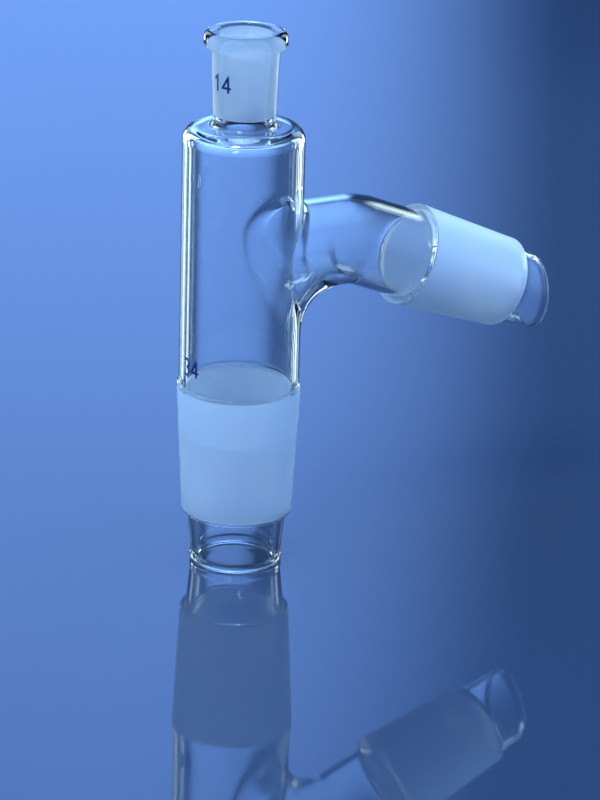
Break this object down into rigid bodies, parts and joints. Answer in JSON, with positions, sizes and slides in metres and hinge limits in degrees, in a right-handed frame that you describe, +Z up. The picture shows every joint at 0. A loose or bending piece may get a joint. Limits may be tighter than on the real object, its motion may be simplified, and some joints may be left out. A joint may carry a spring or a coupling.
{
  "type": "distillation head",
  "caption": "Hollow blown-glass distillation head: upright stem with a ground cone below, a ground socket on top and a sloping side arm ending in a second ground cone and drip tip.",
  "frame": {"origin": "centre of the flat foot ring at the lower end of the drip tube, on the stem axis", "axes": "+Z up along the stem axis, towards the socket; +X from the stem towards the side arm"},
  "size_m": [0.1121, 0.0344, 0.1534],
  "materials": {
    "clear_glass": "clear fire-polished glass; the tapers of the three joints are finely ground and look frosted"
  },
  "bodies": {
    "root": {"still_head": "clear_glass"}
  },
  "joints": []
}
